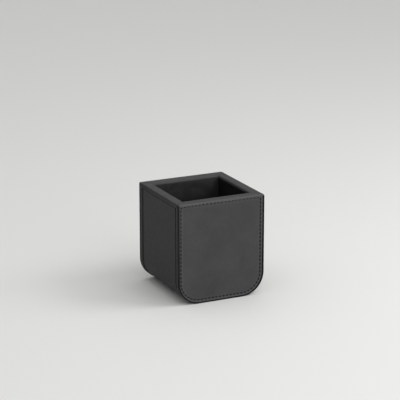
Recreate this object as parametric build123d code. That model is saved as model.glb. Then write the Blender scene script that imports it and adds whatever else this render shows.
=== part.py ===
"""Square dice cup: a board box, a leather side wrap and two stitched U-shaped end panels.

The origin is at the centre of the footprint, on the surface that the cup stands on.
+Z is up through the open mouth, and -Y is the front panel.
All sizes are in millimetres.
"""

import os

from build123d import *

# Overall size
width = 90.6              # X, across an end panel
depth = 91.8              # Y, over the two facings
height = 100.0            # Z, base to rim
corner_radius = 23.0      # lower corners of an end panel

# End panels
facing_thickness = 2.2    # cut leather sheet on the outside of a panel
panel_board = 4.0         # board behind the facing
edge_strip = 1.6          # leather strip round the panel board's edge, as deep as the gutter
facing_round = 0.6        # worn-in rounding of a facing's outer edges
facing_top_round = 1.0    # softer rounding where a facing meets the rim

# Box
rim_width = 10.0          # wall thickness with its rounded inner edge, facings not counted
wall_board = 6.8          # side walls, floor and corner blocks
lining = 0.8              # suede lining
side_recess = 0.6         # side wrap's field, inside the panel outline
wrap_thickness = 1.8      # side wrap's field

# Gutter pressed into the side wrap beside each end panel
gutter_width = 2.4
gutter_depth = 1.0

# Rim strips
rim_strip = 1.2           # leather over the top of the walls
hem_height = 4.3          # turned-down outer hem, measured from the rim
turn_in_height = 2.6      # turned-in inner edge, measured from the rim
rim_outer_round = 1.0
rim_inner_round = 2.0

# Stitching
stitch_pitch = 3.85
stitch_length = 2.7
thread_width = 0.8
thread_height = 0.45
channel_width = 1.2       # crease that a facing's stitch row lies in
channel_depth = 0.5
row_inset_side = 3.15
row_inset_bottom = 3.8
row_inset_top = 2.3
row_shift = -1.15         # the front row sits off centre, to the left
row_top_radius = 2.0

# Base pad
pad_length_x = 42.0
pad_length_y = 72.0

# Places worked out from the sizes above
half_width = width / 2
half_depth = depth / 2
panel_front = half_depth - facing_thickness      # panel board's outer face
box_end = panel_front - panel_board              # inner box's outer end face
wrap_outer = half_width - side_recess
box_side = wrap_outer - wrap_thickness           # inner box's outer side face
box_low = side_recess + wrap_thickness           # inner box's underside
box_top = height - rim_strip
cavity_side = box_side - wall_board
cavity_end = panel_front - rim_width + lining
cavity_low = box_low + wall_board
box_radius = corner_radius - side_recess - wrap_thickness
cavity_radius = box_radius - wall_board
arc_centre_x = box_side - box_radius
arc_centre_z = box_low + box_radius
mouth_side = cavity_side - lining
mouth_end = cavity_end - lining
hem_low = height - hem_height
turn_in_low = height - turn_in_height
gutter_floor = side_recess + gutter_depth

assert abs(half_width - rim_width - mouth_side) < 1e-6


def u_outline(half, low, high, radius, top_radius=0.0):
    """Flat-topped outline in X and Z with two rounded lower corners."""
    outline = Pos(0, (low + high) / 2) * Rectangle(2 * half, high - low)
    by_height = outline.vertices().sort_by(Axis.Y)
    if top_radius:
        outline = fillet(by_height[2:], top_radius)
        by_height = outline.vertices().sort_by(Axis.Y)
    return fillet(by_height[:2], radius)


def slab(outline, y_low, y_high):
    """Extrude an X-Z outline between two Y positions."""
    return extrude(Plane.XZ.offset(-y_high) * outline, y_high - y_low)


def block(x_range, y_range, z_range):
    """Rectangular block between low and high corners."""
    size = [high - low for low, high in (x_range, y_range, z_range)]
    middle = [(high + low) / 2 for low, high in (x_range, y_range, z_range)]
    return Pos(*middle) * Box(*size)


def turned(piece):
    """The same piece on the opposite side of the cup."""
    return Rot(0, 0, 180) * piece


def row_outline():
    """Closed stitch row on the front facing, as an X-Z outline."""
    outline = u_outline(
        half_width - row_inset_side,
        row_inset_bottom,
        height - row_inset_top,
        corner_radius - row_inset_bottom,
        row_top_radius,
    )
    return Pos(row_shift, 0) * outline


def facing():
    """Front facing: a U-shaped leather sheet with a crease for its stitch row."""
    sheet = slab(u_outline(half_width, 0, height, corner_radius), -half_depth, -panel_front)
    rim_edge = sheet.edges().filter_by(Axis.X).sort_by(Axis.Z).group_by(Axis.Z)[-1].sort_by(Axis.Y)[0]
    sheet = fillet(rim_edge, facing_top_round)
    outer_face = sheet.faces().sort_by(Axis.Y)[0]
    cut_edges = [edge for edge in outer_face.edges() if edge.center().Z < height - 2 * facing_top_round]
    sheet = fillet(cut_edges, facing_round)
    middle = row_outline()
    crease = offset(middle, channel_width / 2) - offset(middle, -channel_width / 2)
    return sheet - slab(crease, -half_depth - 1, -half_depth + channel_depth)


def facing_thread():
    """Stitches lying in the front facing's crease, one solid each."""
    row = slab(row_outline(), -half_depth, -half_depth + channel_depth)
    path = row.faces().sort_by(Axis.Y)[-1].outer_wire()
    return stitches(path, lambda tangent: Vector(0, -1, 0))


def gutter_thread():
    """Stitches on the floor of the front gutter, from rim hem to rim hem."""
    side = half_width - gutter_floor
    radius = corner_radius - gutter_floor
    y = -box_end + gutter_width / 2
    centre_x = side - radius
    centre_z = gutter_floor + radius
    diagonal = radius * 0.5 ** 0.5
    left = Line((-side, y, hem_low), (-side, y, centre_z))
    right = Line((side, y, centre_z), (side, y, hem_low))
    bottom = Line((-centre_x, y, gutter_floor), (centre_x, y, gutter_floor))
    left_arc = ThreePointArc(
        left @ 1, (-centre_x - diagonal, y, centre_z - diagonal), bottom @ 0
    )
    right_arc = ThreePointArc(
        bottom @ 1, (centre_x + diagonal, y, centre_z - diagonal), right @ 0
    )
    path = Wire([left.edge(), left_arc.edge(), bottom.edge(), right_arc.edge(), right.edge()])
    return stitches(path, lambda tangent: tangent.cross(Vector(0, -1, 0)))


def stitches(path, outward):
    """Evenly spaced stitches along a path, lying on the surface it runs over."""
    count = round(path.length / stitch_pitch)
    solids = []
    for index in range(count):
        place = (index + 0.5) / count
        tangent = path.tangent_at(place)
        lie = Plane(path.position_at(place), x_dir=tangent, z_dir=outward(tangent))
        solids += extrude(lie * SlotOverall(stitch_length, thread_width), thread_height).solids()
    return Compound(solids)


def mitre_wedge():
    """Everything above the slanted joint between a rim hem and the front edge strip."""
    profile = make_face(Polyline(
        (-panel_front, height),
        (-box_end, hem_low),
        (-box_end, height + 1),
        (-panel_front, height + 1),
        close=True,
    ))
    return extrude(Plane.YZ.offset(-half_width) * profile, width)


def panel_edge_strip():
    """Leather strip round the sides and bottom of the front panel board."""
    outer = u_outline(half_width, 0, box_top, corner_radius)
    inner = u_outline(half_width - edge_strip, edge_strip, height, corner_radius - edge_strip)
    return slab(outer - inner, -panel_front, -box_end) - mitre_wedge()


def rim_section(outer, inner):
    """Section across a rim strip: the top leather and the turn-in, with a rounded inner edge."""
    section = make_face(Polyline(
        (outer, box_top),
        (outer, height),
        (inner, height),
        (inner, turn_in_low),
        (inner - lining, turn_in_low),
        (inner - lining, box_top),
        close=True,
    ))
    return fillet(section.vertices().group_by(Axis.Y)[-1].sort_by(Axis.X)[-1], rim_inner_round)


def mitred(strip, corners):
    """The part of a rim strip between its two mitre planes."""
    between = make_face(Polyline(*corners, close=True))
    return strip & extrude(Pos(0, 0, turn_in_low) * between, turn_in_height)


def side_rim_strip():
    """Left rim strip: top leather, outer hem, hem ends and inner turn-in."""
    section = rim_section(-half_width, -mouth_side)
    strip = mitred(slab(section, -panel_front, panel_front), (
        (-half_width, -panel_front),
        (-mouth_side, -mouth_end),
        (-mouth_side, mouth_end),
        (-half_width, panel_front),
    ))
    strip += block((-half_width, -box_side), (-box_end, box_end), (hem_low, box_top))
    hem_end = block(
        (-half_width, -half_width + edge_strip), (-panel_front, -box_end), (hem_low, box_top)
    ) & mitre_wedge()
    strip += hem_end
    strip += mirror(hem_end, about=Plane.XZ)
    top_edges = strip.edges().filter_by(Axis.Y).group_by(Axis.Z)[-1].sort_by(Axis.X)
    return fillet(top_edges[0], rim_outer_round)


def end_rim_strip():
    """Front rim strip: top leather and inner turn-in."""
    section = rim_section(-panel_front, -mouth_end)
    return mitred(extrude(Plane.YZ.offset(-half_width) * section, width), (
        (-half_width, -panel_front),
        (half_width, -panel_front),
        (mouth_side, -mouth_end),
        (-mouth_side, -mouth_end),
    ))


def side_wrap():
    """Leather from the left hem, round the bottom, to the right hem, with two gutters."""
    outer = u_outline(wrap_outer, side_recess, hem_low, corner_radius - side_recess)
    inner = u_outline(box_side, box_low, height, box_radius)
    gutter = outer - u_outline(
        half_width - gutter_floor, gutter_floor, height, corner_radius - gutter_floor
    )
    wrap = slab(outer - inner, -box_end, box_end)
    wrap -= slab(gutter, -box_end, -box_end + gutter_width)
    wrap -= slab(gutter, box_end - gutter_width, box_end)
    return wrap


def corner_block():
    """Left corner block: a quarter ring between a wall board and the floor board."""
    ring = Circle(box_radius) - Circle(cavity_radius)
    quarter = ring & Pos(-box_radius / 2, -box_radius / 2) * Rectangle(box_radius, box_radius)
    return slab(Pos(-arc_centre_x, arc_centre_z) * quarter, -box_end, box_end)


def cavity_outline(high, clearance=0.0):
    """Inside of the board box, less an even clearance."""
    return u_outline(
        cavity_side - clearance, cavity_low + clearance, high, cavity_radius - clearance
    )


def boards():
    """The structure: inner box, corner blocks and the two panel boards."""
    panel = u_outline(half_width - edge_strip, edge_strip, box_top, corner_radius - edge_strip)
    front_board = slab(panel, -panel_front, -box_end)
    front_wall = slab(cavity_outline(box_top), -box_end, -cavity_end)
    left_wall = block((-box_side, -cavity_side), (-box_end, box_end), (arc_centre_z, box_top))
    left_corner = corner_block()
    return {
        "front_panel_board": front_board,
        "back_panel_board": turned(front_board),
        "front_wall_board": front_wall,
        "back_wall_board": turned(front_wall),
        "left_wall_board": left_wall,
        "right_wall_board": turned(left_wall),
        "left_corner_block": left_corner,
        "right_corner_block": turned(left_corner),
        "floor_board": block(
            (-arc_centre_x, arc_centre_x), (-box_end, box_end), (box_low, cavity_low)
        ),
    }


def leathers():
    """Outer leather: facings, edge strips, side wrap and the four rim strips."""
    front_facing = facing()
    front_strip = panel_edge_strip()
    left_rim = side_rim_strip()
    front_rim = end_rim_strip()
    return {
        "front_facing": front_facing,
        "back_facing": turned(front_facing),
        "front_edge_strip": front_strip,
        "back_edge_strip": turned(front_strip),
        "side_wrap": side_wrap(),
        "left_rim_strip": left_rim,
        "right_rim_strip": turned(left_rim),
        "front_rim_strip": front_rim,
        "back_rim_strip": turned(front_rim),
    }


def linings():
    """Suede inside the cup: an end pad on each end wall and one strip round the rest."""
    end_pad = slab(cavity_outline(turn_in_low), -cavity_end, -mouth_end)
    strip = cavity_outline(turn_in_low) - cavity_outline(height, lining)
    return {
        "front_lining": end_pad,
        "back_lining": turned(end_pad),
        "side_lining": slab(strip, -mouth_end, mouth_end),
    }


def trims():
    """Threads and the pad under the base."""
    row = facing_thread()
    gutter_row = gutter_thread()
    return {
        "front_thread": row,
        "back_thread": turned(row),
        "front_gutter_thread": gutter_row,
        "back_gutter_thread": turned(gutter_row),
        "base_pad": block(
            (-pad_length_x / 2, pad_length_x / 2),
            (-pad_length_y / 2, pad_length_y / 2),
            (0, side_recess),
        ),
    }


os.makedirs("parts", exist_ok=True)
for group in (boards(), leathers(), linings(), trims()):
    for name, piece in group.items():
        export_step(piece, f"parts/{name}.step")
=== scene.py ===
from math import cos, pi, radians, sin, tau

import bmesh
import bpy
import numpy as np
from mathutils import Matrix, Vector, noise


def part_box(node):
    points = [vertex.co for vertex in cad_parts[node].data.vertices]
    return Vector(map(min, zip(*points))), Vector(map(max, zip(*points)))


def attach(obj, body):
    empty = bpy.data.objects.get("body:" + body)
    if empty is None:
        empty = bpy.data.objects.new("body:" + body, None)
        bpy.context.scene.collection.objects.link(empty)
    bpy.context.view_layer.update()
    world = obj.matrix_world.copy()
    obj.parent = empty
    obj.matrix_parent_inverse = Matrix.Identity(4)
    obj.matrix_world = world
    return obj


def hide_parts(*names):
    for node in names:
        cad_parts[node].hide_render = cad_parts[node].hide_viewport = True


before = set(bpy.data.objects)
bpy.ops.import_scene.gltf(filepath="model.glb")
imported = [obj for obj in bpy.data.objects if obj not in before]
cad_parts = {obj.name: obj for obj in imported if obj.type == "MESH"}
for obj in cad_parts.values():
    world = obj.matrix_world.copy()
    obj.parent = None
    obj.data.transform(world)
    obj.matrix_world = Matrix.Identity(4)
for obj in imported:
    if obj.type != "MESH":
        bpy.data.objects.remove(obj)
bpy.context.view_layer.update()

# A square leather dice cup: two stitched U-shaped end panels, a side wrap that follows the same U,
# mitred rim strips and a suede lining. All sizes are in metres, in the CAD model's frame.

MM = 0.001

# ---------------------------------------------------------------- sizes read from the frame

facing_low, facing_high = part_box("front_facing")
_, strip_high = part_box("front_edge_strip")
rim_low, rim_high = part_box("left_rim_strip")
_, wrap_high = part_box("side_wrap")
lining_low, lining_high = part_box("front_lining")
_, pad_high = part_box("base_pad")
row_low, row_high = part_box("front_thread")

HALF_WIDTH = facing_high.x
FRONT = facing_low.y                    # outer face of the front panel
PANEL_FRONT = facing_high.y             # joint between facing and edge strip
BOX_END = strip_high.y                  # joint between edge strip and side wrap
HEIGHT = facing_high.z
HEM_LOW = rim_low.z
MOUTH_SIDE = -rim_high.x
MOUTH_END = -lining_high.y
TURN_IN_LOW = lining_high.z
WRAP_RECESS = HALF_WIDTH - wrap_high.x

# ---------------------------------------------------------------- sizes of the design

CORNER_RADIUS = 23 * MM
WRAP_INSIDE = 2.4 * MM                  # wrap's inner face, in from the panel outline
STRIP_INSIDE = 1.7 * MM
CUT_ROUND = 0.5 * MM                    # rounding of a painted cut edge
TOP_ROUND = 1.0 * MM                    # rounding where a facing meets the rim
TOP_CORNER = 1.5 * MM                   # rounding of a facing's two top corners
GUTTER_WIDTH = 2.4 * MM
GUTTER_DEPTH = 1.0 * MM
BACK_GUTTER_DEPTH = 0.5 * MM            # the back gutter is fainter, and gets almost none of the front gutter's painted shade
BACK_GUTTER_SHADE = 0.1
STITCH_PITCH = 3.85 * MM
STITCH_LENGTH = 2.2 * MM                # along the top and the bottom, and in the gutters
SIDE_STITCH_LENGTH = 3.1 * MM           # down the two sides of a facing
STITCH_SLANT = radians(-22)             # every stitch leans inward along the row
THREAD_RADIUS = 0.44 * MM
THREAD_RISE = 0.62 * MM                 # the middle of a stitch above its ends
THREAD_SINK = 0.32 * MM                 # the middle of a facing's stitch, below the leather
CREASE_DEPTH = 0.62 * MM
CREASE_WIDTH = 0.66 * MM                # either side of the stitch row
INK_WIDTH = 0.74 * MM
MARGIN_CROWN = 0.14 * MM                # swelling between the edge and the stitch row
FIELD_DOME = 0.16 * MM                  # swelling inside the stitch row
FIELD_RIPPLE = 0.05 * MM
GUTTER_THREAD_RAISED = 0.3 * MM         # front gutter's stitches, over its floor
HOLE_SPREAD = 0.95 * MM                 # reach of the raised leather, and of its painted highlight, at a needle hole
SIDE_HOLE_SPREAD = 0.6 * MM             # the same down the two sides
INNER_HIGHLIGHT = 0.4                         # painted highlight inside the row, as a share of that outside it
# the same painted highlight, stronger down the left side
LEFT_INNER_HIGHLIGHT = 0.9
LAP_LEFT = 0.3 * MM                     # edge paint that laps over the front, beyond the rounding
LAP_BOTTOM = 1.1 * MM
LAP_RIGHT = 1.9 * MM
RIM_TOP = 1.2 * MM
MOUTH_ROUND = 2.0 * MM                  # rounding of the rim's inner edge
RIM_CROWN = 0.04 * MM
RIM_WAVE = 0.03 * MM
MITRE_GAP = 0.03 * MM                   # left open at each mitred end of a rim strip
SEAM_DIP = 0.1 * MM                     # the strips sink this much at a mitre
SEAM_REACH = 0.5 * MM
PUCKER_SPREAD = 0.7 * MM                # along the gutter, at each of its needle holes
STRIP_PUCKER = 0.22 * MM
WRAP_PUCKER = 0.16 * MM
HEM_SHADE = 0.78                        # painted shade on the outer hem, below the rim's rounding
HEM_EDGE_SHADE = 0.22                   # painted shade added along the hem's lower edge
UNDER_HEM_SHADE = 0.9                   # painted shadow on the wrap, just under the hem
LINING = 0.8 * MM
LINING_DEPTH_SHADE = 0.75                        # painted shade on the end linings, growing with depth into the cup
LINING_SHADE_HIGH = 2 * MM                       # under the turn-in
LINING_SHADE_LOW = 32 * MM
CAVITY_LOW = lining_low.z
CAVITY_RADIUS = 13.8 * MM
PAD_RADIUS = 5 * MM
TOUCH = 0.001 * MM                      # places closer than this are the same

ROW_HALF = (row_high.x - row_low.x) / 2 - THREAD_RADIUS
ROW_SHIFT = (row_high.x + row_low.x) / 2
ROW_LOW = row_low.z + THREAD_RADIUS
ROW_HIGH = row_high.z - THREAD_RADIUS
ROW_RADIUS = CORNER_RADIUS - ROW_LOW
ROW_TOP_RADIUS = 2.2 * MM


# ---------------------------------------------------------------- mesh helpers

def new_piece(name, vertices, faces):
    """A smooth-shaded mesh object from point and face lists, linked to the scene."""
    mesh = bpy.data.meshes.new(name)
    mesh.from_pydata([tuple(v) for v in vertices], [], [tuple(f) for f in faces])
    mesh.validate()
    mesh.update()
    mesh.polygons.foreach_set("use_smooth", [True] * len(mesh.polygons))
    piece = bpy.data.objects.new(name, mesh)
    bpy.context.scene.collection.objects.link(piece)
    return piece


def paint(piece, name, values):
    """Stores one number per vertex, which a material reads."""
    layer = piece.data.attributes.new(name, "FLOAT", "POINT")
    layer.data.foreach_set("value", np.asarray(values, np.float32))


def face_outward(piece):
    """Makes every face's normal point out of a closed piece."""
    form = bmesh.new()
    form.from_mesh(piece.data)
    bmesh.ops.recalc_face_normals(form, faces=form.faces)
    form.to_mesh(piece.data)
    form.free()


def finish_piece(piece, material, slot, *nodes, painted=None):
    """Gives a piece its material, its body and the CAD nodes that it stands for.

    Where painted is over a half at every corner of a face, the face gets the black edge paint material,
    which is real paint on a facing's edges and painted shade in the front gutter."""
    face_outward(piece)
    piece.data.materials.append(material)
    if painted is not None:
        piece.data.materials.append(EDGE_PAINT_AND_SHADE)
        for face in piece.data.polygons:
            if min(painted[v] for v in face.vertices) > 0.5:
                face.material_index = 1
    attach(piece, "root")
    if nodes:
        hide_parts(*nodes)
    return piece


def turned(points):
    """The same points on the opposite side of the cup."""
    return [Vector((-p[0], -p[1], p[2])) for p in points]


def stitched_grid(rows, columns, close_columns=False, first=0):
    """Quads over a grid of rows x columns vertices, numbered row by row."""
    faces = []
    for r in range(rows - 1):
        for c in range(columns if close_columns else columns - 1):
            here, above = first + r * columns, first + (r + 1) * columns
            c2 = (c + 1) % columns
            faces.append([here + c, here + c2, above + c2, above + c])
    return faces


def capped_tube(rows, columns):
    """Faces of a tube of closed sections, with a cap at each end."""
    faces = stitched_grid(rows, columns, close_columns=True)
    faces.append(list(range(columns)))
    faces.append([(rows - 1) * columns + c for c in range(columns)][::-1])
    return faces


def capped_rings(rings, count):
    """Faces over nested rings, with a face inside the last ring and one across the first."""
    faces = stitched_grid(rings, count, close_columns=True)
    faces.append(list(range((rings - 1) * count, rings * count)))
    faces.append(list(range(count))[::-1])
    return faces


def smooth_step(value, low, high):
    """0 below low, 1 above high, and a smooth rise between."""
    t = min(max((value - low) / (high - low), 0.0), 1.0)
    return t * t * (3 - 2 * t)


def unevenness(point, scale, seed):
    """Slow surface noise, -1 to 1, the same on every run."""
    return noise.noise(Vector(point) / scale + Vector((seed, 2 * seed, 3 * seed)))


# ---------------------------------------------------------------- outlines

def arc_points(centre_x, centre_z, radius, start, end, count):
    """Points and outward normals along an arc from one angle to another, the last left out."""
    angles = [start + (end - start) * k / count for k in range(count)]
    return [((centre_x + radius * cos(a), centre_z + radius * sin(a)), (cos(a), sin(a)))
            for a in angles]


def line_points(start, end, normal, count):
    """Points along a straight stretch, the last left out."""
    return [((start[0] + (end[0] - start[0]) * k / count,
              start[1] + (end[1] - start[1]) * k / count), normal) for k in range(count)]


def closed_outline(half, low, high, radius, top_radius, spacing, shift=0.0):
    """Closed U outline, counter-clockwise from the top left corner, as (point, normal) pairs.

    Every stretch has a number of points set by the panel's size, so that two outlines match."""
    side = round((HEIGHT - CORNER_RADIUS) / spacing)
    bend = round(CORNER_RADIUS * pi / 2 / spacing)
    base = round(2 * (HALF_WIDTH - CORNER_RADIUS) / spacing)
    top = round(2 * HALF_WIDTH / spacing)
    corner = 8
    left, right = -half + shift, half + shift
    ring = line_points((left, high - top_radius), (left, low + radius), (-1, 0), side)
    ring += arc_points(left + radius, low + radius, radius, pi, 1.5 * pi, bend)
    ring += line_points((left + radius, low), (right - radius, low), (0, -1), base)
    ring += arc_points(right - radius, low + radius, radius, 1.5 * pi, tau, bend)
    ring += line_points((right, low + radius), (right, high - top_radius), (1, 0), side)
    ring += arc_points(right - top_radius, high - top_radius, top_radius, 0, pi / 2, corner)
    ring += line_points((right - top_radius, high), (left + top_radius, high), (0, 1), top)
    ring += arc_points(left + top_radius, high - top_radius, top_radius, pi / 2, pi, corner)
    return ring


def open_u(half, low, high, radius, spacing):
    """Open U path from the top left, round the bottom, to the top right."""
    side = round((high - low - radius) / spacing)
    bend = round(radius * pi / 2 / spacing)
    base = round(2 * (half - radius) / spacing)
    path = line_points((-half, high), (-half, low + radius), (-1, 0), side)
    path += arc_points(-half + radius, low + radius, radius, pi, 1.5 * pi, bend)
    path += line_points((-half + radius, low), (half - radius, low), (0, -1), base)
    path += arc_points(half - radius, low + radius, radius, 1.5 * pi, tau, bend)
    path += line_points((half, low + radius), (half, high), (1, 0), side)
    path.append(((half, high), (1, 0)))
    return path


def lengths_along(path, closed):
    """Distance of each point from the first, and the whole length."""
    points = np.array([p for p, _ in path])
    steps = np.linalg.norm(np.diff(np.vstack([points, points[:1]]), axis=0), axis=1)
    distance = np.concatenate([[0], np.cumsum(steps)])
    return distance[:-1], distance[-1] if closed else distance[-2]


def hole_nearness(distance, pitch, spread):
    """1 at a needle hole and 0 between holes. Holes lie at whole pitches."""
    offset = (distance + pitch / 2) % pitch - pitch / 2
    return float(np.exp(-(offset / spread) ** 2))


# ---------------------------------------------------------------- leather pieces

ROW = closed_outline(ROW_HALF, ROW_LOW, ROW_HIGH, ROW_RADIUS, ROW_TOP_RADIUS, 0.35 * MM, ROW_SHIFT)
ROW_DISTANCE, ROW_LENGTH = lengths_along(ROW, closed=True)
ROW_PITCH = ROW_LENGTH / round(ROW_LENGTH / STITCH_PITCH)

# Rings of a facing's mesh: from the edge to the row, past the row, and on to the centre
MARGIN_SHARES = (0.04, 0.1, 0.16, 0.22, 0.28, 0.34, 0.41, 0.48, 0.55, 0.62, 0.69, 0.76, 0.84, 0.92, 1.0)
CREASE_PLACES = [across * MM for across in (0.2, 0.4, 0.6, 0.8, 1.0, 1.3, 1.6, 1.9)]
FIELD_SHARES = (0.98, 0.95, 0.92, 0.88, 0.84, 0.79, 0.74, 0.68,
                0.61, 0.54, 0.46, 0.38, 0.3, 0.21, 0.12, 0.05)


def crease_depth(across, gap, top):
    """Depth of the crease under the stitch row.

    It is shallow in the gap between two stitches, and along the top, where top is 1."""
    return CREASE_DEPTH * float(np.exp(-(across / CREASE_WIDTH) ** 2)) * (1 - 1.15 * gap) * (1 - 0.4 * top)


def crease_ink_and_shade(across, gap, top):
    """Wax and painted shade round a stitch, less along the top, 0 to 1."""
    return float(np.exp(-(across / INK_WIDTH) ** 2)) * (1 - gap) * (0.95 - 0.2 * top)


def margin_highlight(across, gap):
    """Painted highlight on both sides of the stitch row and between the stitches, where the leather would
    catch the light, 0 to 1.
    """
    beside = smooth_step(abs(across), 0.5 * MM, 1.0 * MM)
    return max(beside, gap) * (1 - smooth_step(abs(across), 1.6 * MM, 2.8 * MM))


def facing_edge_rings():
    """Rings from the back of the front facing round its edge, with the share that is painted."""
    outline = closed_outline(HALF_WIDTH, 0, HEIGHT, CORNER_RADIUS, TOP_CORNER, 0.35 * MM)
    thickness = PANEL_FRONT - FRONT
    cut = [(0.5 * MM, thickness), (0.16 * MM, thickness), (0.0, thickness - 0.25 * MM)]
    turned_over = [(0.3 * MM, thickness), (0.05 * MM, thickness), (0.0, thickness - 0.1 * MM)]
    steps = 6
    for k in range(steps + 1):
        a = pi / 2 * k / steps
        cut.append((CUT_ROUND * (1 - cos(a)), CUT_ROUND * (1 - sin(a))))
        turned_over.append((TOP_ROUND * (1 - cos(a)), TOP_ROUND * (1 - sin(a))))
    rings = []
    for (cut_inset, cut_depth), (top_inset, top_depth) in zip(cut, turned_over):
        ring = []
        for (x, z), normal in outline:
            top = smooth_step(normal[1], 0.3, 0.9)
            inset = cut_inset + (top_inset - cut_inset) * top
            depth = cut_depth + (top_depth - cut_depth) * top
            point = Vector((x - normal[0] * inset, FRONT + depth, z - normal[1] * inset))
            ring.append((point, 1 - top))
        rings.append(ring)
    return rings


def lap_width(normal_x):
    """Width of the edge paint on the front, which grows from the left edge to the right one."""
    left_half = (LAP_BOTTOM - LAP_LEFT) * smooth_step(normal_x, -1, 0)
    right_half = (LAP_RIGHT - LAP_BOTTOM) * smooth_step(normal_x, 0, 1)
    return LAP_LEFT + left_half + right_half


def field_rings(edge):
    """Rings of points that fill the space inside a ring, slightly domed and uneven."""
    centre_z = (ROW_LOW + ROW_HIGH) / 2
    half_high = (ROW_HIGH - ROW_LOW) / 2
    rings = []
    for share in FIELD_SHARES:
        ring = []
        for p in edge:
            x, z = (p.x - ROW_SHIFT) * share, (p.z - centre_z) * share
            dome = max(0, 1 - (x / ROW_HALF) ** 2) * max(0, 1 - (z / half_high) ** 2)
            ripple = FIELD_RIPPLE * unevenness((x, z, 0), 18 * MM, 7)
            swell = smooth_step(1 - share, 0, 0.25) * (FIELD_DOME * dome + ripple)
            ring.append(Vector((ROW_SHIFT + x, FRONT - swell, centre_z + z)))
        rings.append(ring)
    return rings


def facing_mesh():
    """Vertices, faces, edge paint, ink with painted shade, and painted highlights of the front facing.

    Rings run from the back, round the cut edge, over the margin and the stitch crease,
    and into the field, which is closed by a coarser set of rings."""
    vertices, painted, ink_and_shade, painted_highlight = [], [], [], []

    def add(point, paint_share, ink_and_shade_share, highlight_share=0.0):
        vertices.append(point)
        painted.append(paint_share)
        ink_and_shade.append(ink_and_shade_share)
        painted_highlight.append(highlight_share)

    edge_rings = facing_edge_rings()
    for ring in edge_rings:
        for point, share in ring:
            # The turned-over top edge gets a full painted highlight, where its rounding would catch the
            # light.
            add(point, share, 0, 1 - share)
    tops = [smooth_step(normal[1], 0.5, 1.0) for _, normal in ROW]
    sides = [smooth_step(abs(normal[0]), 0.6, 1.0) for _, normal in ROW]
    spreads = [HOLE_SPREAD + (SIDE_HOLE_SPREAD - HOLE_SPREAD) * side for side in sides]
    gaps = [hole_nearness(d, ROW_PITCH, spread) for d, spread in zip(ROW_DISTANCE, spreads)]

    for share in MARGIN_SHARES:
        for (start, paint_share), ((x, z), normal), gap, top in zip(edge_rings[-1], ROW, gaps, tops):
            width = (Vector((x, z)) - Vector((start.x, start.z))).length
            across = width * (1 - share)
            crown = MARGIN_CROWN * sin(pi * share ** 0.8)
            lap = lap_width(normal[0])
            lap_ink = paint_share * smooth_step(lap - width * share, -0.12 * MM, 0.12 * MM)
            depth = crease_depth(across, gap, top) - crown
            # Margin: edge paint lapping over it, ink with painted shade, and a painted highlight that is
            # twice as strong along the top.
            add(Vector((start.x + (x - start.x) * share, FRONT + depth, start.z + (z - start.z) * share)),
                lap_ink, max(lap_ink, crease_ink_and_shade(across, gap, top)), margin_highlight(across, gap) * (1 + top))

    for across in CREASE_PLACES:
        for ((x, z), normal), gap, top in zip(ROW, gaps, tops):
            depth = crease_depth(across, gap, top)
            # Painted highlight inside the row, stronger down the left side.
            inner_highlight = INNER_HIGHLIGHT + (LEFT_INNER_HIGHLIGHT - INNER_HIGHLIGHT) * smooth_step(-normal[0], 0.5, 1.0)
            add(Vector((x - normal[0] * across, FRONT + depth, z - normal[1] * across)),
                0, crease_ink_and_shade(across, gap, top), inner_highlight * margin_highlight(across, gap))
    count = len(ROW)
    rings = len(vertices) // count
    faces = stitched_grid(rings, count, close_columns=True)

    # The field: every fourth point of the last ring goes on inward.
    last = (rings - 1) * count
    kept = list(range(0, count, 4))
    first = len(vertices)
    for ring in field_rings([vertices[last + k] for k in kept]):
        for point in ring:
            add(point, 0, 0)
    inner = len(kept)
    for c in range(inner):
        start = kept[c]
        end = kept[c + 1] if c + 1 < inner else count
        span = [last + k % count for k in range(start, end + 1)]
        faces.append(span + [first + (c + 1) % inner, first + c])
    faces += stitched_grid(len(FIELD_SHARES), inner, close_columns=True, first=first)
    faces.append(list(range(len(vertices) - inner, len(vertices))))
    faces.append(list(range(count))[::-1])
    return vertices, faces, painted, ink_and_shade, painted_highlight


def stitch_tube(middle, along, outward, length, slant, vertices, faces):
    """One stitch: a two-ply thread that comes out of one hole and dives into the next."""
    sideways = along.cross(outward).normalized()
    run = (along * cos(slant) + sideways * sin(slant)).normalized()
    side = run.cross(outward).normalized()
    sections, around = 12, 10
    first = len(vertices)
    for s in range(sections + 1):
        t = s / sections
        lift = THREAD_RISE * (sin(pi * t) ** 0.7 if 0 < t < 1 else 0)
        centre = middle + run * length * (t - 0.5) + outward * (lift - THREAD_RISE)
        for a in range(around):
            angle = tau * a / around
            ply = 1 + 0.13 * cos(2 * angle - 9 * t)
            radius = THREAD_RADIUS * ply * (0.82 + 0.18 * sin(pi * t))
            vertices.append(centre + side * radius * cos(angle) + outward * radius * sin(angle))
    faces += stitched_grid(sections + 1, around, close_columns=True, first=first)
    faces.append([first + a for a in range(around)][::-1])
    faces.append([first + sections * around + a for a in range(around)])


def path_point(path, distances, target):
    """Point and outward normal of a path at a distance along it."""
    k = int(np.searchsorted(distances, target) - 1)
    k = max(0, min(k, len(path) - 2))
    (x0, z0), n0 = path[k]
    (x1, z1), n1 = path[(k + 1) % len(path)]
    span = distances[k + 1] - distances[k] if k + 1 < len(distances) else 1
    t = (target - distances[k]) / span if span else 0
    point = Vector((x0 + (x1 - x0) * t, 0, z0 + (z1 - z0) * t))
    normal = Vector((n0[0] + (n1[0] - n0[0]) * t, 0, n0[1] + (n1[1] - n0[1]) * t)).normalized()
    return point, normal


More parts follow.
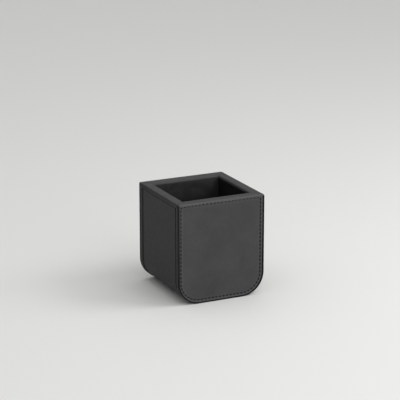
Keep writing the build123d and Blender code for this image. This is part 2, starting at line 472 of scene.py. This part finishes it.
def facing_stitches():
    """The front facing's stitch row."""
    vertices, faces = [], []
    count = round(ROW_LENGTH / ROW_PITCH)
    for k in range(count):
        point, normal = path_point(ROW, ROW_DISTANCE, (k + 0.5) * ROW_PITCH)
        outward = Vector((0, -1, 0))
        middle = Vector((point.x, FRONT + THREAD_SINK, point.z))
        along = normal.cross(outward)
        slant = STITCH_SLANT + radians(2) * unevenness((k, 0, 0), 1.7, 3)
        side = smooth_step(abs(normal.x), 0.6, 1.0)
        length = STITCH_LENGTH + (SIDE_STITCH_LENGTH - STITCH_LENGTH) * side
        stitch_tube(middle, along, outward, length, slant, vertices, faces)
    return vertices, faces


def sweep(path, profile, place):
    """Sweeps a closed cross-section along an open path and caps both ends.

    place(index, point, normal, y, outset) returns each vertex."""
    vertices = []
    for k, (point, normal) in enumerate(path):
        for y, outset in profile:
            vertices.append(place(k, point, normal, y, outset))
    return vertices, capped_tube(len(path), len(profile))


def edge_strip_mesh():
    """Leather strip round the front panel board, with a faint pucker at each needle hole.

    The edge paint of the facing laps over its front border."""
    ink_and_shade = []
    path = open_u(HALF_WIDTH, 0, HEIGHT - RIM_TOP, CORNER_RADIUS, 0.45 * MM)
    distance, _ = lengths_along(path, closed=False)
    front, rear = PANEL_FRONT, BOX_END
    mitre = (HEIGHT - HEM_LOW) / (rear - front)
    profile = [(front, -STRIP_INSIDE), (front, -0.35 * MM), (front + 0.12 * MM, -0.12 * MM),
               (front + 0.4 * MM, 0.0), (front + 0.75 * MM, 0.03 * MM)]
    profile += [(front + (rear - front) * t, 0.06 * MM * sin(pi * t)) for t in (0.3, 0.4, 0.55, 0.7)]
    profile += [(rear - 0.55 * MM, 0.0), (rear - 0.25 * MM, -0.08 * MM), (rear - 0.06 * MM, -0.28 * MM),
                (rear, -0.6 * MM), (rear, -STRIP_INSIDE)]

    def place(k, point, normal, y, outset):
        ink_and_shade.append(1 - smooth_step(y, front + 0.3 * MM, front + 0.75 * MM))
        hole = hole_nearness(distance[k], STITCH_PITCH, PUCKER_SPREAD)
        share = smooth_step(y, rear - 1.2 * MM, rear)
        if outset > -0.5 * MM:
            y -= STRIP_PUCKER * hole * share
        outset -= 0.07 * MM * hole * share
        if outset < 0:
            outset = max(outset, -STRIP_INSIDE)
        x, z = point[0] + normal[0] * outset, point[1] + normal[1] * outset
        if z > HEM_LOW - 1 * MM:
            z = min(z, HEIGHT - (y - front) * mitre - 0.05 * MM)
        return Vector((x, y, z))

    vertices, faces = sweep(path, profile, place)
    return vertices, faces, ink_and_shade


def wrap_profile(gutter_depth):
    """Half of the side wrap's cross-section, from the front edge to the middle."""
    start = BOX_END
    floor = -(WRAP_RECESS + gutter_depth)
    field = -WRAP_RECESS
    shoulder = [(0.0, floor), (0.5, floor), (1.2, floor + 0.02 * gutter_depth),
                (1.7, floor + 0.12 * gutter_depth), (2.0, floor + 0.35 * gutter_depth),
                (2.2, floor + 0.6 * gutter_depth), (2.5, floor + 0.8 * gutter_depth),
                (2.9, field - 0.08 * gutter_depth), (3.5, field + 0.03 * MM), (4.3, field + 0.1 * MM),
                (5.5, field + 0.11 * MM), (8.0, field + 0.08 * MM), (13.0, field + 0.1 * MM),
                (20.0, field + 0.13 * MM), (29.0, field + 0.13 * MM)]
    return [(start + y * MM, outset) for y, outset in shoulder]


def side_wrap_mesh():
    """U of leather round the box, with a stitched gutter beside each end panel.

    Returns the painted shade in the gutters, almost none at the back, and the same with a painted shadow
    under the hem as well."""
    path = open_u(HALF_WIDTH, 0, HEM_LOW, CORNER_RADIUS, 0.6 * MM)
    distance, _ = lengths_along(path, closed=False)
    painted, ink_and_shade = [], []
    front_half, back_half = wrap_profile(GUTTER_DEPTH), wrap_profile(BACK_GUTTER_DEPTH)
    profile = [(BOX_END, -WRAP_INSIDE)] + front_half
    profile += [(-y, outset) for y, outset in reversed(back_half)] + [(-BOX_END, -WRAP_INSIDE)]
    shoulder_low = BOX_END + 1.2 * MM
    shoulder_high = BOX_END + 3.2 * MM

    def place(k, point, normal, y, outset):
        inward = -abs(y)
        # Painted shade on the gutter's floor and the foot of its shoulder: full at the front, almost none at
        # the back.
        shade = smooth_step(inward, BOX_END + 0.8 * MM, BOX_END + 1.3 * MM)
        shade *= 1 - smooth_step(inward, BOX_END + 2.5 * MM, BOX_END + 2.9 * MM)
        shade *= 1 if y < 0 else BACK_GUTTER_SHADE
        # Painted shadow on the wrap, just under the hem.
        under_hem = UNDER_HEM_SHADE * smooth_step(point[1], HEM_LOW - 1.3 * MM, HEM_LOW - 0.5 * MM)
        painted.append(shade)
        ink_and_shade.append(max(shade, under_hem))
        if outset > -WRAP_INSIDE:
            hole = hole_nearness(distance[k], STITCH_PITCH, PUCKER_SPREAD)
            share = smooth_step(inward, BOX_END, shoulder_low)
            share *= 1 - smooth_step(inward, shoulder_low, shoulder_high)
            outset -= WRAP_PUCKER * hole * share
            y += WRAP_PUCKER * hole * share * (-1 if y > 0 else 1)
            calm = smooth_step(inward, shoulder_high, shoulder_high + 6 * MM)
            outset += 0.05 * MM * calm * unevenness((point[0], y, point[1]), 14 * MM, 5)
        x, z = point[0] + normal[0] * outset, point[1] + normal[1] * outset
        return Vector((x, y, z))

    vertices, faces = sweep(path, profile, place)
    return vertices, faces, painted, ink_and_shade


def gutter_stitches(raised):
    """Stitch row on the floor of the front gutter, or above it by the raised distance."""
    inset = WRAP_RECESS + GUTTER_DEPTH
    path = open_u(HALF_WIDTH - inset, inset, HEM_LOW, CORNER_RADIUS - inset, 0.45 * MM)
    distance, length = lengths_along(path, closed=False)
    vertices, faces = [], []
    for k in range(int(length / STITCH_PITCH)):
        point, normal = path_point(path, distance, (k + 0.5) * STITCH_PITCH)
        middle = Vector((point.x, BOX_END + GUTTER_WIDTH * 0.62, point.z)) + normal * raised
        along = normal.cross(Vector((0, -1, 0)))
        stitch_tube(middle, along, normal, STITCH_LENGTH, radians(4), vertices, faces)
    return vertices, faces


def rounded(corner, start, end, radius, steps):
    """Points of a rounded corner between the directions towards two neighbours."""
    corner, start, end = Vector(corner), Vector(start), Vector(end)
    into, out = (start - corner).normalized(), (end - corner).normalized()
    centre = corner + (into + out) * radius
    return [tuple(centre - out * radius * cos(pi / 2 * k / steps) - into * radius * sin(pi / 2 * k / steps))
            for k in range(steps + 1)]


def side_rim_mesh():
    """Left rim strip: outer hem, top and inner turn-in, mitred at both ends."""
    outer, inner, top = -HALF_WIDTH, -MOUTH_SIDE, HEIGHT
    section = [(outer + WRAP_INSIDE, HEM_LOW), (outer + 0.5 * MM, HEM_LOW),
               (outer + 0.12 * MM, HEM_LOW + 0.1 * MM), (outer, HEM_LOW + 0.45 * MM),
               (outer, HEM_LOW + 1.6 * MM), (outer, top - 1.7 * MM)]
    section += rounded((outer, top), (outer, 0), (0, top), 1.2 * MM, 7)
    width = inner - outer
    section += [(outer + width * t, top + RIM_CROWN * sin(pi * t)) for t in (0.28, 0.4, 0.5, 0.6, 0.7)]
    section += rounded((inner, top), (outer, top), (inner, 0), MOUTH_ROUND, 10)
    section += [(inner, TURN_IN_LOW + 0.3 * MM), (inner - 0.1 * MM, TURN_IN_LOW + 0.02 * MM),
                (inner - 0.25 * MM, TURN_IN_LOW), (inner - LINING, TURN_IN_LOW),
                (inner - LINING, top - RIM_TOP), (outer + WRAP_INSIDE, top - RIM_TOP)]
    mitre = (BOX_END - PANEL_FRONT) / (HEIGHT - HEM_LOW)
    steps = 90
    vertices, ink_and_shade = [], []
    for k in range(steps + 1):
        t = k / steps
        for x, z in section:
            # Painted shade on the outer hem, darkest along its lower edge.
            hem = HEM_SHADE * smooth_step(top - z, 0.4 * MM, 1.0 * MM)
            hem += HEM_EDGE_SHADE * smooth_step(HEM_LOW - z, -1.0 * MM, -0.3 * MM)
            ink_and_shade.append(hem if x < 0.5 * (outer + inner) else 0)
            reach = -PANEL_FRONT - max(x - outer, (top - z) * mitre) - MITRE_GAP
            in_the_wall = outer + STRIP_INSIDE < x < inner - LINING - TOUCH
            if in_the_wall and z < top - RIM_TOP - TOUCH:
                reach = -BOX_END        # the hem's inner corner stops at the edge strip
            y = -reach + 2 * reach * t
            seam = SEAM_DIP * np.exp(-(reach - abs(y)) / SEAM_REACH)
            wave = RIM_WAVE * unevenness((x, y, z), 11 * MM, 9)
            on_top = z > top - 0.3 * MM
            on_hem = x < outer + 0.2 * MM and not on_top
            vertices.append(Vector((x - wave * on_hem, y, z + (wave - seam) * on_top)))
    return vertices, capped_tube(steps + 1, len(section)), ink_and_shade


def end_rim_mesh():
    """Front rim strip: top and inner turn-in, mitred at both ends."""
    outer, inner, top = PANEL_FRONT, -MOUTH_END, HEIGHT
    section = [(outer, top - RIM_TOP), (outer, top - 0.25 * MM), (outer + 0.08 * MM, top - 0.06 * MM),
               (outer + 0.3 * MM, top)]
    width = inner - outer
    section += [(outer + width * t, top + RIM_CROWN * sin(pi * t)) for t in (0.2, 0.35, 0.5, 0.62, 0.74)]
    section += rounded((inner, top), (outer, top), (inner, 0), MOUTH_ROUND, 10)
    section += [(inner, TURN_IN_LOW + 0.3 * MM), (inner - 0.1 * MM, TURN_IN_LOW + 0.02 * MM),
                (inner - 0.25 * MM, TURN_IN_LOW), (inner - LINING, TURN_IN_LOW),
                (inner - LINING, top - RIM_TOP)]
    steps = 90
    vertices = []
    for k in range(steps + 1):
        t = k / steps
        for y, z in section:
            reach = HALF_WIDTH - (y - outer) - MITRE_GAP
            x = -reach + 2 * reach * t
            seam = SEAM_DIP * np.exp(-(reach - abs(x)) / SEAM_REACH)
            wave = RIM_WAVE * unevenness((x, y, z), 11 * MM, 12)
            on_top = z > top - 0.3 * MM
            vertices.append(Vector((x, y, z + (wave - seam) * on_top)))
    return vertices, capped_tube(steps + 1, len(section))


# ---------------------------------------------------------------- lining and base

def end_lining_mesh():
    """Suede pad on the front wall, slightly crowned, with soft rounded borders.

    Its darkening towards the bottom is painted shade."""
    half, low = MOUTH_SIDE + LINING, CAVITY_LOW
    outline = closed_outline(half, low, TURN_IN_LOW, CAVITY_RADIUS, 0.4 * MM, 1.2 * MM)
    count = len(outline)
    back, face = -MOUTH_END - LINING, -MOUTH_END
    vertices = []
    for inset, y in ((0, back), (0, face - 0.35 * MM), (0.15 * MM, face - 0.08 * MM), (0.4 * MM, face)):
        for (x, z), normal in outline:
            vertices.append(Vector((x - normal[0] * inset, y, z - normal[1] * inset)))
    centre_z = (low + TURN_IN_LOW) / 2
    shares = [0.94, 0.84, 0.72, 0.6, 0.47, 0.34, 0.2, 0.08]
    for share in shares:
        for (x, z), normal in outline:
            x2, z2 = x * share, centre_z + (z - centre_z) * share
            bump = 0.06 * MM * unevenness((x2, z2, 0), 6 * MM, 21) - 0.06 * MM
            vertices.append(Vector((x2, face + bump, z2)))
    ink_and_shade = [LINING_DEPTH_SHADE * smooth_step(TURN_IN_LOW - p.z, LINING_SHADE_HIGH, LINING_SHADE_LOW) for p in vertices]
    return vertices, capped_rings(len(vertices) // count, count), ink_and_shade


def side_lining_mesh():
    """Suede strip down the left wall, over the floor and up the right wall."""
    path = open_u(MOUTH_SIDE + LINING, CAVITY_LOW, TURN_IN_LOW, CAVITY_RADIUS, 1.5 * MM)
    end = -MOUTH_END
    border = [(end, 0), (end, -LINING + 0.3 * MM), (end + 0.1 * MM, -LINING + 0.06 * MM),
              (end + 0.4 * MM, -LINING)]
    inner_steps = 40
    field_end = border[-1][0]
    field = [(field_end * (1 - 2 * k / inner_steps), -LINING) for k in range(1, inner_steps)]
    profile = border + field + [(-y, outset) for y, outset in reversed(border)]

    def place(k, point, normal, y, outset):
        if outset <= -LINING + TOUCH:
            outset += 0.05 * MM * (1 + unevenness((point[0], y, point[1]), 6 * MM, 24))
        return Vector((point[0] + normal[0] * outset, y, point[1] + normal[1] * outset))

    return sweep(path, profile, place)


def base_pad_mesh():
    """Thin suede pad under the cup, with rounded corners and edges."""
    arm_x, arm_y = pad_high.x - PAD_RADIUS, pad_high.y - PAD_RADIUS
    ring = []
    for quarter, (cx, cy) in enumerate(((arm_x, arm_y), (-arm_x, arm_y), (-arm_x, -arm_y), (arm_x, -arm_y))):
        start = quarter * pi / 2
        end = start + pi / 2
        ring += arc_points(cx, cy, PAD_RADIUS, start, end, 10)
        ring.append(((cx + PAD_RADIUS * cos(end), cy + PAD_RADIUS * sin(end)), (cos(end), sin(end))))
    count = len(ring)
    vertices = []
    layers = [(0.0, pad_high.z), (0.0, 0.2 * MM), (0.06 * MM, 0.06 * MM), (0.2 * MM, 0.0)]
    for inset, z in layers:
        for (x, y), normal in ring:
            vertices.append(Vector((x - normal[0] * inset, y - normal[1] * inset, z)))
    for share in (0.9, 0.7, 0.45, 0.2):
        for (x, y), _ in ring:
            vertices.append(Vector((x * share, y * share, 0.0)))
    return vertices, capped_rings(len(vertices) // count, count)


# ---------------------------------------------------------------- materials

class Nodes:
    """Short calls for building one material's node tree."""

    def __init__(self, name):
        self.material = bpy.data.materials.new(name)
        self.material.use_nodes = True
        self.tree = self.material.node_tree
        self.shader = self.tree.nodes["Principled BSDF"]
        self.position = self.add("ShaderNodeTexCoord").outputs["Object"]

    def add(self, kind, **settings):
        node = self.tree.nodes.new(kind)
        for key, value in settings.items():
            setattr(node, key, value)
        return node

    def link(self, source, target):
        self.tree.links.new(source, target)

    def set(self, **values):
        """Sets the shader's own sockets; underscores stand for spaces."""
        for key, value in values.items():
            self.shader.inputs[key.replace("_", " ")].default_value = value

    def noise(self, scale, detail, roughness, distortion=0.0):
        """Cloudy noise over the piece, 0 to 1."""
        node = self.add("ShaderNodeTexNoise")
        self.link(self.position, node.inputs["Vector"])
        node.inputs["Scale"].default_value = scale
        node.inputs["Detail"].default_value = detail
        node.inputs["Roughness"].default_value = roughness
        node.inputs["Distortion"].default_value = distortion
        return node.outputs["Fac"]

    def cells(self, scale, feature, vector):
        """Distance to the nearest of many scattered points, which gives pebbles."""
        node = self.add("ShaderNodeTexVoronoi", feature=feature)
        self.link(vector, node.inputs["Vector"])
        node.inputs["Scale"].default_value = scale
        return node.outputs["Distance"]

    def math(self, operation, first, second, third=None):
        """One sum on numbers or sockets."""
        node = self.add("ShaderNodeMath", operation=operation)
        for socket, value in zip(node.inputs, (first, second, third)):
            if value is None:
                continue
            if isinstance(value, (int, float)):
                socket.default_value = value
            else:
                self.link(value, socket)
        return node.outputs[0]

    def span(self, value, low, high, new_low, new_high):
        """Stretches the range from low to high onto a new range."""
        node = self.add("ShaderNodeMapRange")
        self.link(value, node.inputs["Value"])
        limits = {"From Min": low, "From Max": high, "To Min": new_low, "To Max": new_high}
        for key, number in limits.items():
            node.inputs[key].default_value = number
        return node.outputs["Result"]

    def blend(self, share, first, second):
        """Mixes two colours, each a colour or a socket."""
        node = self.add("ShaderNodeMix", data_type="RGBA")
        self.link(share, node.inputs[0])
        for socket, value in ((node.inputs[6], first), (node.inputs[7], second)):
            if isinstance(value, tuple):
                socket.default_value = (*value, 1)
            else:
                self.link(value, socket)
        return node.outputs[2]

    def bump(self, height, distance, strength, normal=None):
        """Normals bent by a height, on top of other normals where they are given."""
        node = self.add("ShaderNodeBump")
        self.link(height, node.inputs["Height"])
        node.inputs["Distance"].default_value = distance
        node.inputs["Strength"].default_value = strength
        if normal:
            self.link(normal, node.inputs["Normal"])
        return node.outputs["Normal"]

    def mask(self, name):
        """The number that paint() stored in each vertex."""
        return self.add("ShaderNodeAttribute", attribute_name=name).outputs["Fac"]


def scaled(colour, factor):
    """A colour made darker or lighter."""
    return tuple(c * factor for c in colour)


def leather(name, tone, specular, rough=0.52, grain=1.5):
    """Matt pigmented leather: pebbled grain, fine pores, uneven tone, painted highlights, and ink with
    painted shade.
    """
    m = Nodes(name)
    warp = m.add("ShaderNodeVectorMath", operation="SCALE")
    wobble = m.add("ShaderNodeTexNoise")
    m.link(m.position, wobble.inputs["Vector"])
    wobble.inputs["Scale"].default_value = 900
    m.link(wobble.outputs["Color"], warp.inputs[0])
    warp.inputs["Scale"].default_value = 0.00035
    shifted = m.add("ShaderNodeVectorMath", operation="ADD")
    m.link(m.position, shifted.inputs[0])
    m.link(warp.outputs[0], shifted.inputs[1])
    pebble = m.cells(1500, "F1", shifted.outputs[0])
    pebble_large = m.cells(720, "SMOOTH_F1", shifted.outputs[0])
    pores = m.noise(5200, 2, 0.6)
    cloud = m.noise(42, 4, 0.55, 0.4)
    mottle = m.noise(260, 3, 0.6)

    height = m.math("MULTIPLY", pebble, -0.5)
    height = m.math("MULTIPLY_ADD", pebble_large, -0.6, height)
    height = m.math("MULTIPLY_ADD", pores, 0.3, height)
    normal = m.bump(height, 0.00011 * grain, 0.75)
    slow = m.noise(95, 3, 0.5, 0.3)
    normal = m.bump(slow, 0.0006, 0.22, normal)

    colour = m.blend(m.span(cloud, 0.3, 0.7, 0, 1), scaled(tone, 0.86), scaled(tone, 1.15))
    colour = m.blend(m.span(mottle, 0.35, 0.65, 0.0, 0.22), colour, scaled(tone, 0.8))
    valley = m.span(pebble, 0.35, 0.75, 0.0, 0.25)
    colour = m.blend(valley, colour, scaled(tone, 0.6))
    roughness = m.span(cloud, 0.25, 0.75, rough - 0.05, rough + 0.05)
    roughness = m.math("ADD", roughness, m.span(mottle, 0.3, 0.7, -0.03, 0.03))
    # Painted highlight: paler leather where an edge, a margin or a gap between stitches would catch the
    # light.
    colour = m.blend(m.math("MULTIPLY", m.mask("painted_highlight"), HIGHLIGHT_SHARE), colour, scaled(tone, 1.6))
    # Ink darkening: real edge paint and wax, and painted shade in the stitch creases, the front gutter, on
    # the hem and under it.
    colour = m.blend(m.mask("ink_and_shade"), colour, INK_AND_SHADE)
    m.link(colour, m.shader.inputs["Base Color"])
    m.link(roughness, m.shader.inputs["Roughness"])
    m.link(normal, m.shader.inputs["Normal"])
    m.set(Specular_IOR_Level=specular)
    return m.material


def edge_paint_and_shade():
    """Black edge dressing, brushed on in thin coats; laid in the front gutter, the same black is painted
    shade.
    """
    m = Nodes("edge_paint_and_shade")
    brushed = m.noise(1600, 3, 0.6)
    pooled = m.noise(300, 2, 0.5)
    colour = m.blend(m.span(pooled, 0.3, 0.7, 0, 1), (0.003, 0.003, 0.003), (0.007, 0.007, 0.0072))
    m.link(colour, m.shader.inputs["Base Color"])
    m.link(m.bump(brushed, 0.00008, 0.6), m.shader.inputs["Normal"])
    m.link(m.span(pooled, 0.3, 0.7, 0.5, 0.62), m.shader.inputs["Roughness"])
    m.set(Specular_IOR_Level=0.1)
    return m.material


def suede(name, tone, sheen):
    """Short-nap suede: fibrous speckle, brushed patches, a soft sheen, and painted shade where its mask asks
    for it.
    """
    m = Nodes(name)
    nap = m.noise(2600, 4, 0.75, 1.2)
    fibres = m.noise(900, 5, 0.7, 2.0)
    brushed = m.noise(60, 3, 0.55, 0.8)
    height = m.math("MULTIPLY_ADD", fibres, 0.6, nap)
    normal = m.bump(height, 0.00035, 0.8)
    colour = m.blend(m.span(brushed, 0.32, 0.68, 0, 1), scaled(tone, 0.6), scaled(tone, 1.6))
    colour = m.blend(m.span(nap, 0.35, 0.7, 0.0, 0.5), colour, scaled(tone, 1.9))
    # Painted shade from the mask: darker deeper in the cup.
    colour = m.blend(m.mask("ink_and_shade"), colour, scaled(tone, 0.1))
    m.link(colour, m.shader.inputs["Base Color"])
    m.link(normal, m.shader.inputs["Normal"])
    m.set(Roughness=0.95, Specular_IOR_Level=0.15, Sheen_Weight=sheen, Sheen_Roughness=0.5)
    return m.material


def waxed_thread():
    """Black waxed polyester thread with fine fibres."""
    m = Nodes("waxed_thread")
    fibre = m.noise(7000, 2, 0.6)
    tint = m.noise(400, 2, 0.5)
    colour = m.blend(m.span(tint, 0.3, 0.7, 0, 1), (0.003, 0.003, 0.0032), (0.008, 0.008, 0.0085))
    m.link(colour, m.shader.inputs["Base Color"])
    m.link(m.bump(fibre, 0.00006, 0.7), m.shader.inputs["Normal"])
    m.link(m.span(fibre, 0.3, 0.7, 0.5, 0.65), m.shader.inputs["Roughness"])
    m.set(Specular_IOR_Level=0.2)
    return m.material


def fibreboard():
    """Pressed wood fibre, under the leather."""
    m = Nodes("fibreboard")
    flecks = m.noise(1400, 4, 0.7)
    slow = m.noise(120, 3, 0.5)
    colour = m.blend(m.span(flecks, 0.35, 0.65, 0, 1), (0.36, 0.25, 0.15), (0.52, 0.39, 0.25))
    colour = m.blend(m.span(slow, 0.3, 0.7, 0, 0.4), colour, (0.42, 0.31, 0.2))
    m.link(colour, m.shader.inputs["Base Color"])
    m.link(m.bump(flecks, 0.0002, 0.5), m.shader.inputs["Normal"])
    m.set(Roughness=0.85)
    return m.material


HIGHLIGHT_SHARE = 0.55                        # how far a painted highlight takes leather to its palest
INK_AND_SHADE = (0.002, 0.002, 0.0022)            # wax, edge paint and painted shade, all as colour in the leather
FACING_LEATHER = leather("facing_leather", (0.054, 0.054, 0.0555), specular=0.25)
# The wrap and the edge strip are the facing's leather, made darker as painted shade on the sides, which face
# away from the light.
WRAP_LEATHER = leather("wrap_leather", (0.0415, 0.0415, 0.0427), rough=0.58, specular=0.12)
STRIP_LEATHER = leather("strip_leather", (0.048, 0.048, 0.0492), rough=0.58, specular=0.12)
RIM_LEATHER = leather("rim_leather", (0.055, 0.055, 0.0565), specular=0.18, grain=1.2)
# The end and side linings are one suede: the side copy is made far darker and the end copy lighter, as
# painted shade on the shaded side walls and painted light on the lit back wall.
END_SUEDE = suede("end_suede", (0.024, 0.024, 0.0245), 0.05)
SIDE_SUEDE = suede("side_suede", (0.004, 0.004, 0.0042), 0.01)
BASE_SUEDE = suede("base_suede", (0.10, 0.075, 0.055), 0.2)
THREAD = waxed_thread()
EDGE_PAINT_AND_SHADE = edge_paint_and_shade()
BOARD = fibreboard()


# ---------------------------------------------------------------- the cup

def pair(mesh, front_name, back_name, material, slot, ink_and_shade=None, painted_highlight=None, painted=None):
    """The front piece and its copy, turned half round, at the back."""
    vertices, faces = mesh
    for name, points in ((front_name, vertices), (back_name, turned(vertices))):
        piece = new_piece(name + "_shaped", points, faces)
        if ink_and_shade is not None:
            paint(piece, "ink_and_shade", ink_and_shade)
        if painted_highlight is not None:
            paint(piece, "painted_highlight", painted_highlight)
        finish_piece(piece, material, slot, name, painted=painted)


def build_cup():
    """Every piece of the cup. The boards and blocks keep their CAD shape."""
    vertices, faces, painted, ink_and_shade, painted_highlight = facing_mesh()
    pair((vertices, faces), "front_facing", "back_facing", FACING_LEATHER, "facing_leather",
         ink_and_shade, painted_highlight, painted)
    pair(facing_stitches(), "front_thread", "back_thread", THREAD, "thread")
    vertices, faces, ink_and_shade = edge_strip_mesh()
    pair((vertices, faces), "front_edge_strip", "back_edge_strip", STRIP_LEATHER, "rim_leather", ink_and_shade)
    vertices, faces = gutter_stitches(GUTTER_THREAD_RAISED)
    finish_piece(new_piece("front_gutter_thread_shaped", vertices, faces), THREAD, "thread",
                 "front_gutter_thread")
    vertices, faces = gutter_stitches(0.0)
    finish_piece(new_piece("back_gutter_thread_shaped", turned(vertices), faces), THREAD, "thread",
                 "back_gutter_thread")
    vertices, faces, ink_and_shade = side_rim_mesh()
    pair((vertices, faces), "left_rim_strip", "right_rim_strip", RIM_LEATHER, "rim_leather", ink_and_shade)
    pair(end_rim_mesh(), "front_rim_strip", "back_rim_strip", RIM_LEATHER, "rim_leather")
    vertices, faces, ink_and_shade = end_lining_mesh()
    pair((vertices, faces), "front_lining", "back_lining", END_SUEDE, "suede", ink_and_shade)
    vertices, faces, painted, ink_and_shade = side_wrap_mesh()
    wrap = new_piece("side_wrap_shaped", vertices, faces)
    paint(wrap, "ink_and_shade", ink_and_shade)
    finish_piece(wrap, WRAP_LEATHER, "wrap_leather", "side_wrap", painted=painted)
    strip = new_piece("side_lining_shaped", *side_lining_mesh())
    finish_piece(strip, SIDE_SUEDE, "suede", "side_lining")
    pad = new_piece("base_pad_shaped", *base_pad_mesh())
    finish_piece(pad, BASE_SUEDE, "base_suede", "base_pad")
    for name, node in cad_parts.items():
        if name.endswith(("_board", "_block")):
            for slot in node.material_slots:
                slot.material = BOARD


# ---------------------------------------------------------------- floor, light and camera

CAMERA_YAW = radians(25.73)
CAMERA_PITCH = radians(16.31)
CAMERA_DISTANCE = 1.671
CAMERA_AIM = Vector((0.0035, 0.0096, 0.0849))
SENSOR_WIDTH = 36.0                     # mm, as Blender counts both
FOCAL_LENGTH = 154.2


def floor_and_backdrop():
    """Pale floor that curves up into a backdrop far behind the cup."""
    floor_material = Nodes("pale_floor")
    floor_material.set(Base_Color=(0.78, 0.78, 0.765, 1), Roughness=0.6, Specular_IOR_Level=0.3)
    near, far, half_width, wall_high = -4.0, 5.0, 8.0, 5.0
    bend_radius, bend_steps = 1.2, 12
    outline = [(near, 0.0), (far, 0.0)]
    for k in range(1, bend_steps + 1):
        a = pi / 2 * k / bend_steps
        outline.append((far + bend_radius * sin(a), bend_radius * (1 - cos(a))))
    outline.append((far + bend_radius, wall_high))
    vertices = [Vector((x, y, z)) for y, z in outline for x in (-half_width, half_width)]
    floor = new_piece("floor", vertices, stitched_grid(len(outline), 2))
    floor.rotation_euler = (0, 0, -CAMERA_YAW)
    floor.data.materials.append(floor_material.material)


def make_camera():
    """A long lens in front and to the left, looking down on the cup. Yaw turns from +Y to +X."""
    camera_data = bpy.data.cameras.new("camera")
    camera_data.sensor_width = SENSOR_WIDTH
    camera_data.lens = FOCAL_LENGTH
    camera = bpy.data.objects.new("camera", camera_data)
    forward = Vector((
        sin(CAMERA_YAW) * cos(CAMERA_PITCH), cos(CAMERA_YAW) * cos(CAMERA_PITCH), -sin(CAMERA_PITCH)
    ))
    camera.location = CAMERA_AIM - forward * CAMERA_DISTANCE
    camera.rotation_euler = forward.to_track_quat("-Z", "Y").to_euler()
    bpy.context.scene.collection.objects.link(camera)
    bpy.context.scene.camera = camera


def area_light(name, azimuth, elevation, distance, size, power):
    """A square soft light aimed at the cup. Azimuth 0 is on the -Y side, 90 on the +X side."""
    data = bpy.data.lights.new(name, "AREA")
    data.size = size
    data.energy = power
    light = bpy.data.objects.new(name, data)
    a, e = radians(azimuth), radians(elevation)
    target = Vector((0, 0, HEIGHT / 2))
    away = Vector((sin(a) * cos(e), -cos(a) * cos(e), sin(e)))
    light.location = target + away * distance
    light.rotation_euler = (-away).to_track_quat("-Z", "Y").to_euler()
    bpy.context.scene.collection.objects.link(light)


def world_light(zenith, right, left, front, back):
    """Pale surroundings whose brightness differs by direction.

    Each number is the brightness straight up or towards one side of the cup."""
    world = bpy.data.worlds.new("studio")
    bpy.context.scene.world = world
    world.use_nodes = True
    tree = world.node_tree
    background = tree.nodes["Background"]
    coordinates = tree.nodes.new("ShaderNodeTexCoord")
    split = tree.nodes.new("ShaderNodeSeparateXYZ")
    tree.links.new(coordinates.outputs["Generated"], split.inputs[0])

    def combine(operation, first, second, clamp=False):
        node = tree.nodes.new("ShaderNodeMath")
        node.operation = operation
        node.use_clamp = clamp
        for socket, value in zip(node.inputs, (first, second)):
            if isinstance(value, (int, float)):
                socket.default_value = value
            else:
                tree.links.new(value, socket)
        return node.outputs[0]

    total = 0.0
    lobes = (("Z", 1, zenith), ("X", 1, right), ("X", -1, left), ("Y", -1, front), ("Y", 1, back))
    for axis, sign, level in lobes:
        lobe = combine("MULTIPLY", split.outputs[axis], sign, clamp=True)
        squared = combine("MULTIPLY", lobe, lobe)
        total = combine("ADD", total, combine("MULTIPLY", squared, level))
    tree.links.new(total, background.inputs["Strength"])
    background.inputs["Color"].default_value = (1, 1, 1, 1)


bpy.context.scene.view_settings.view_transform = "Standard"
build_cup()
floor_and_backdrop()
make_camera()
world_light(zenith=1.15, right=0.1, left=0.12, front=0.5, back=0.1)
area_light("key", azimuth=62, elevation=42, distance=1.25, size=0.6, power=5.6)
area_light("front_fill", azimuth=8, elevation=34, distance=1.5, size=1.0, power=4.6)
